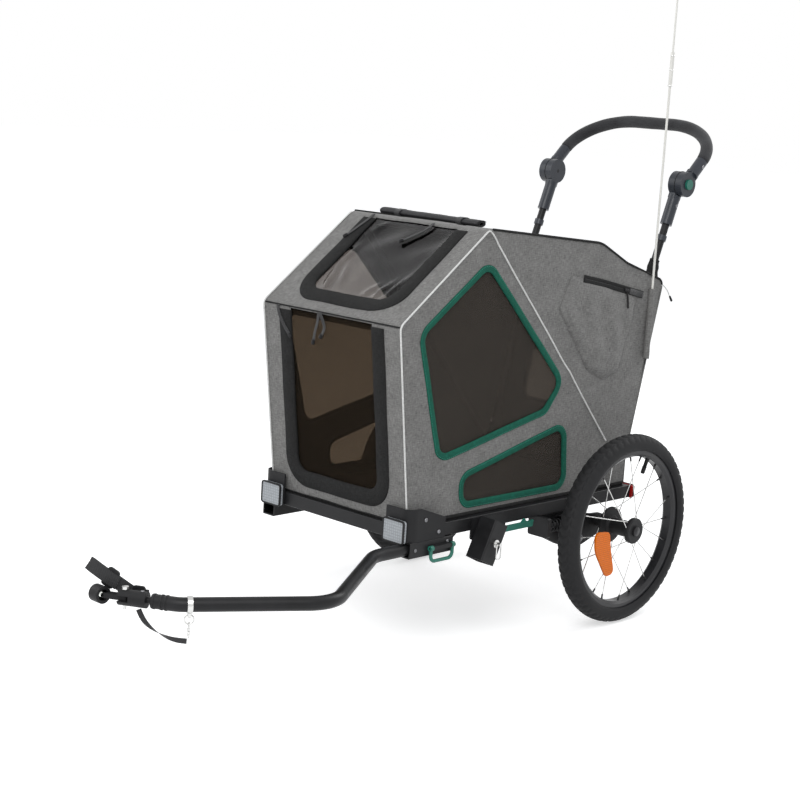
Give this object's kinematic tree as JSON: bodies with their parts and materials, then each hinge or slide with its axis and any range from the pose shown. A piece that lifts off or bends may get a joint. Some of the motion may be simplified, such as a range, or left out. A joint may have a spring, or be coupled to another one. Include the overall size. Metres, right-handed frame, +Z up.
{
  "type": "dog bike trailer",
  "caption": "Two-wheeled dog trailer for towing by a bicycle: folding frame with a fabric cabin, mesh windows, sprung wheels, bent tow arm with hitch, push bar and safety flag.",
  "frame": {"origin": "on the ground, under the middle of the overall box", "axes": "+X to the trailer's left, -Y forward along the tow direction, +Z up"},
  "size_m": [0.6892, 1.648, 1.85],
  "materials": {
    "frame_black": "satin black paint",
    "black_plastic": "fine texture",
    "grey_plastic": "semi gloss",
    "green_plastic": "moulded",
    "grey_fabric": "heather weave",
    "black_fabric": "woven",
    "mesh": "open mesh",
    "clear_film": "smooth film",
    "tyre": "moulded rubber",
    "steel": "bright",
    "chrome": "polished",
    "clear_lens": "prismatic",
    "red_lens": "prismatic",
    "orange_lens": "prismatic",
    "foam": "soft foam",
    "floor_board": "board",
    "white_cord": "braid",
    "pole_white": "smooth",
    "pennant_orange": "thin woven"
  },
  "bodies": {
    "chassis": {"side_rails": "frame_black", "crossbars": "frame_black", "corner_covers": "black_plastic", "floor_panel": "floor_board", "floor_mat": "black_fabric", "front_reflectors": "clear_lens", "rear_reflectors": "red_lens", "suspension_brackets": "frame_black", "pivot_pins": "steel", "left_spring": "frame_black", "right_spring": "frame_black", "left_tow_socket": "frame_black", "right_tow_socket": "frame_black", "stem_socket": "frame_black", "hinge_brackets": "frame_black", "cabin_cover": "grey_fabric", "mesh_windows": "mesh", "roof_window": "clear_film", "side_pocket": "grey_fabric", "rolled_cover": "black_fabric", "drawcord": "white_cord"},
    "tow_arm": {"tow_arm": "frame_black", "snap_hook": "steel", "safety_strap": "black_fabric"},
    "coupling": {"coupling_body": "black_plastic", "coupling_pin": "steel", "strap_loop": "black_fabric"},
    "hitch": {"hitch_cup": "frame_black", "axle_nut": "chrome"},
    "tow_latch": {"tow_latch": "green_plastic"},
    "lynch_pin": {"lynch_pin": "steel"},
    "pin_bail": {"pin_bail": "steel"},
    "lock_lever": {"lock_lever": "green_plastic"},
    "front_hoop": {"front_hoop": "frame_black"},
    "main_hoop": {"main_hoop": "frame_black"},
    "rear_posts": {"rear_posts": "frame_black", "lower_joints": "grey_plastic", "flag_sleeve": "black_fabric"},
    "push_bar": {"upper_joints": "grey_plastic", "push_bar": "frame_black", "grip_foam": "foam"},
    "flag": {"flag_pole": "pole_white", "pennant": "pennant_orange"},
    "left_arm": {"left_trailing_arm": "frame_black"},
    "left_wheel": {"left_tyre": "tyre", "left_rim": "frame_black", "left_hub": "black_plastic", "left_spokes": "steel", "left_spoke_reflector": "orange_lens"},
    "left_hub_button": {"left_hub_button": "grey_plastic"},
    "left_joint_button": {"left_joint_button": "green_plastic"},
    "right_arm": {"right_trailing_arm": "frame_black"},
    "right_wheel": {"right_tyre": "tyre", "right_rim": "frame_black", "right_hub": "black_plastic", "right_spokes": "steel", "right_spoke_reflector": "orange_lens"},
    "right_hub_button": {"right_hub_button": "grey_plastic"},
    "right_joint_button": {"right_joint_button": "green_plastic"}
  },
  "joints": [
    {"name": "left_suspension", "type": "hinge", "parent": "chassis", "child": "left_arm", "pos_m": [0.19544, 0.34203, 0.172], "axis": [1, 0, 0], "range_deg": [0, 8], "stiffness_Nm_per_rad": 300, "springref_deg": -5.73, "deforming": ["left_spring"]},
    {"name": "left_wheel_spin", "type": "hinge", "parent": "left_arm", "child": "left_wheel", "pos_m": [0.27044, 0.40403, 0.2], "axis": [1, 0, 0], "continuous": true},
    {"name": "left_hub_button_press", "type": "slide", "parent": "left_wheel", "child": "left_hub_button", "axis": [-1, 0, 0], "range_m": [0, 0.003], "stiffness_N_per_m": 400, "springref_m": -0.002},
    {"name": "left_joint_button_press", "type": "slide", "parent": "push_bar", "child": "left_joint_button", "axis": [-1, 0, 0], "range_m": [0, 0.003], "stiffness_N_per_m": 400, "springref_m": -0.002},
    {"name": "right_suspension", "type": "hinge", "parent": "chassis", "child": "right_arm", "pos_m": [-0.23256, 0.34203, 0.172], "axis": [1, 0, 0], "range_deg": [0, 8], "stiffness_Nm_per_rad": 300, "springref_deg": -5.73, "deforming": ["right_spring"]},
    {"name": "right_wheel_spin", "type": "hinge", "parent": "right_arm", "child": "right_wheel", "pos_m": [-0.30756, 0.40403, 0.2], "axis": [1, 0, 0], "continuous": true},
    {"name": "right_hub_button_press", "type": "slide", "parent": "right_wheel", "child": "right_hub_button", "axis": [1, 0, 0], "range_m": [0, 0.003], "stiffness_N_per_m": 400, "springref_m": -0.002},
    {"name": "right_joint_button_press", "type": "slide", "parent": "push_bar", "child": "right_joint_button", "axis": [1, 0, 0], "range_m": [0, 0.003], "stiffness_N_per_m": 400, "springref_m": -0.002},
    {"name": "tow_arm_slide", "type": "slide", "parent": "chassis", "child": "tow_arm", "axis": [0, -1, 0], "range_m": [0, 0.1]},
    {"name": "coupling_flex", "type": "hinge", "parent": "tow_arm", "child": "coupling", "pos_m": [0.16699, -0.74184, 0.2155], "axis": [0.4969, -0.8678, 0], "range_deg": [-15, 15], "stiffness_Nm_per_rad": 25, "deforming": ["safety_strap"]},
    {"name": "hitch_yaw", "type": "hinge", "parent": "coupling", "child": "hitch", "pos_m": [0.11926, -0.76917, 0.2155], "axis": [0, 0, 1], "range_deg": [-45, 45], "deforming": ["strap_loop"]},
    {"name": "tow_latch_swing", "type": "hinge", "parent": "chassis", "child": "tow_latch", "pos_m": [0.19609, -0.07297, 0.2155], "axis": [0, -1, 0], "range_deg": [0, 90]},
    {"name": "lynch_pin_pull", "type": "slide", "parent": "chassis", "child": "lynch_pin", "axis": [1, 0, 0], "range_m": [0, 0.045]},
    {"name": "pin_bail_swing", "type": "hinge", "parent": "lynch_pin", "child": "pin_bail", "pos_m": [0.24214, 0.04202, 0.212], "axis": [0, -1, 0], "range_deg": [0, 85]},
    {"name": "lock_lever_turn", "type": "hinge", "parent": "chassis", "child": "lock_lever", "pos_m": [0.19144, 0.10802, 0.222], "axis": [1, 0, 0], "range_deg": [-50, 0]},
    {"name": "posts_fold", "type": "hinge", "parent": "chassis", "child": "rear_posts", "pos_m": [-0.01856, 0.51202, 0.335], "axis": [1, 0, 0], "range_deg": [0, 88], "deforming": ["cabin_cover", "mesh_windows", "roof_window", "side_pocket", "rolled_cover", "drawcord"]},
    {"name": "main_hoop_fold", "type": "hinge", "parent": "chassis", "child": "main_hoop", "pos_m": [-0.01856, 0.48602, 0.3], "axis": [1, 0, 0], "range_deg": [0, 43]},
    {"name": "front_hoop_fold", "type": "hinge", "parent": "chassis", "child": "front_hoop", "pos_m": [-0.01856, -0.12998, 0.279], "axis": [1, 0, 0], "range_deg": [-95, 0]},
    {"name": "push_bar_turn", "type": "hinge", "parent": "rear_posts", "child": "push_bar", "pos_m": [-0.01856, 0.65902, 0.905], "axis": [1, 0, 0], "range_deg": [-60, 70]},
    {"name": "flag_lift", "type": "slide", "parent": "rear_posts", "child": "flag", "axis": [0, 0, 1], "range_m": [0, 0.14]}
  ],
  "couplings": [
    {"joint": "main_hoop_fold", "follows": "posts_fold", "ratio": 0.48864},
    {"joint": "front_hoop_fold", "follows": "posts_fold", "ratio": -1.0795}
  ]
}
